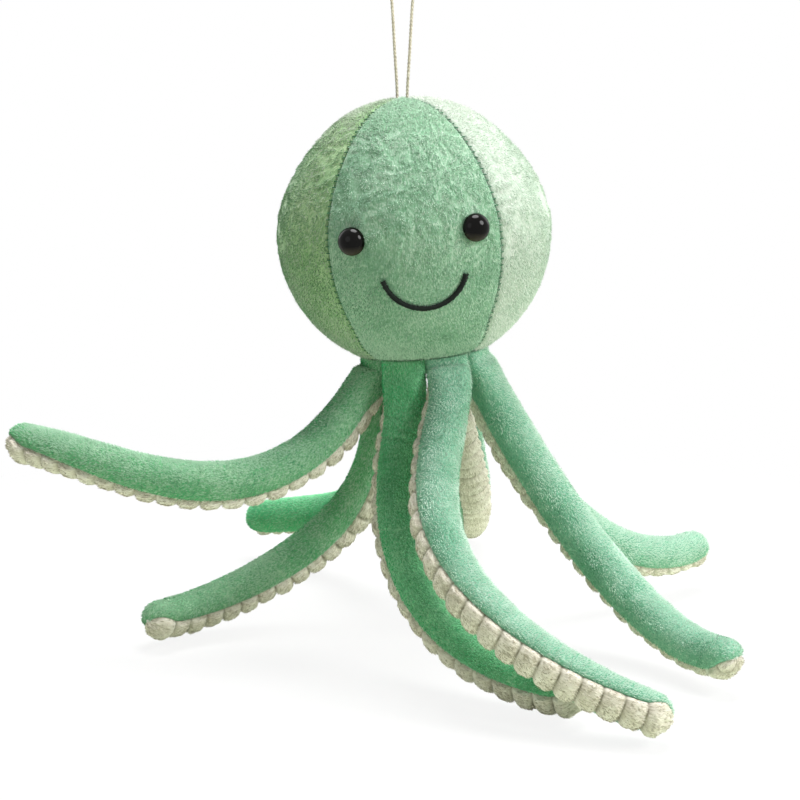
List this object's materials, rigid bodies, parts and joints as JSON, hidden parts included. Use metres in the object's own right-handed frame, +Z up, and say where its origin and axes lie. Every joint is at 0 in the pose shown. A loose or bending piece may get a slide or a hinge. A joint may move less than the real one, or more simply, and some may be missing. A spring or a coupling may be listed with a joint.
{
  "type": "plush octopus",
  "caption": "Soft toy octopus with a round head, smiling face, curling ribbed arms that bend at their sewn roots, and a string loop to hang it by.",
  "frame": {"origin": "top of the string loop, where a hook or finger holds it", "axes": "+Z up along the loop, the face looks towards -Y, +X is the viewer's right when looking at the face"},
  "size_m": [0.4068, 0.3711, 0.3717],
  "materials": {
    "mint_plush": "short brushed pile, mint green",
    "cream_ribbed_plush": "wide ribbed pile, cream",
    "polyester_filling": "loose white fibre",
    "black_eye_plastic": "polished black",
    "washer_plastic": "as moulded",
    "smile_thread": "dark satin-stitch thread",
    "loop_cord": "twisted cotton cord"
  },
  "bodies": {
    "head": {"front_gore": "mint_plush", "right_gore": "mint_plush", "back_gore": "mint_plush", "left_gore": "mint_plush", "head_filling": "polyester_filling", "base_disc": "mint_plush", "left_eye": "black_eye_plastic", "right_eye": "black_eye_plastic", "left_eye_washer": "washer_plastic", "right_eye_washer": "washer_plastic", "smile_embroidery": "smile_thread", "hanging_loop": "loop_cord", "loop_knot": "loop_cord"},
    "front_left_arm": {"front_left_arm_plush": "mint_plush", "front_left_arm_underside": "cream_ribbed_plush", "front_left_arm_filling": "polyester_filling"},
    "front_right_arm": {"front_right_arm_plush": "mint_plush", "front_right_arm_underside": "cream_ribbed_plush", "front_right_arm_filling": "polyester_filling"},
    "right_front_arm": {"right_front_arm_plush": "mint_plush", "right_front_arm_underside": "cream_ribbed_plush", "right_front_arm_filling": "polyester_filling"},
    "right_back_arm": {"right_back_arm_plush": "mint_plush", "right_back_arm_underside": "cream_ribbed_plush", "right_back_arm_filling": "polyester_filling"},
    "back_right_arm": {"back_right_arm_plush": "mint_plush", "back_right_arm_underside": "cream_ribbed_plush", "back_right_arm_filling": "polyester_filling"},
    "back_left_arm": {"back_left_arm_plush": "mint_plush", "back_left_arm_underside": "cream_ribbed_plush", "back_left_arm_filling": "polyester_filling"},
    "left_back_arm": {"left_back_arm_plush": "mint_plush", "left_back_arm_underside": "cream_ribbed_plush", "left_back_arm_filling": "polyester_filling"},
    "left_front_arm": {"left_front_arm_plush": "mint_plush", "left_front_arm_underside": "cream_ribbed_plush", "left_front_arm_filling": "polyester_filling"}
  },
  "joints": [
    {"name": "front_left_arm_bend", "type": "hinge", "parent": "head", "child": "front_left_arm", "pos_m": [0.00184, -0.02633, -0.21819], "axis": [-0.9204, 0.3827, -0.0805], "range_deg": [-20, 0], "stiffness_Nm_per_rad": 0.15, "springref_deg": 0.59},
    {"name": "front_right_arm_bend", "type": "hinge", "parent": "head", "child": "front_right_arm", "pos_m": [0.02357, -0.02633, -0.21629], "axis": [-0.9204, -0.3827, -0.0805], "range_deg": [0, 50], "stiffness_Nm_per_rad": 0.15, "springref_deg": 1.43},
    {"name": "right_front_arm_bend", "type": "hinge", "parent": "head", "child": "right_front_arm", "pos_m": [0.03894, -0.01091, -0.21495], "axis": [-0.3812, -0.9239, -0.0333], "range_deg": [-8, 60], "stiffness_Nm_per_rad": 0.15, "springref_deg": 1.09},
    {"name": "right_back_arm_bend", "type": "hinge", "parent": "head", "child": "right_back_arm", "pos_m": [0.03894, 0.01091, -0.21495], "axis": [0.3812, -0.9239, 0.0333], "range_deg": [-8, 60], "stiffness_Nm_per_rad": 0.15, "springref_deg": 1.13},
    {"name": "back_right_arm_bend", "type": "hinge", "parent": "head", "child": "back_right_arm", "pos_m": [0.02357, 0.02633, -0.21629], "axis": [0.9204, -0.3827, 0.0805], "range_deg": [-10, 60], "stiffness_Nm_per_rad": 0.15, "springref_deg": 1.28},
    {"name": "back_left_arm_bend", "type": "hinge", "parent": "head", "child": "back_left_arm", "pos_m": [0.00184, 0.02633, -0.21819], "axis": [0.9204, 0.3827, 0.0805], "range_deg": [0, 60], "stiffness_Nm_per_rad": 0.15, "springref_deg": 1.09},
    {"name": "left_back_arm_bend", "type": "hinge", "parent": "head", "child": "left_back_arm", "pos_m": [-0.01352, 0.01091, -0.21954], "axis": [0.3812, 0.9239, 0.0333], "range_deg": [-10, 25], "stiffness_Nm_per_rad": 0.15, "springref_deg": 0.66},
    {"name": "left_front_arm_bend", "type": "hinge", "parent": "head", "child": "left_front_arm", "pos_m": [-0.01352, -0.01091, -0.21954], "axis": [-0.3812, 0.9239, -0.0333], "range_deg": [-10, 50], "stiffness_Nm_per_rad": 0.15, "springref_deg": 1.5}
  ]
}
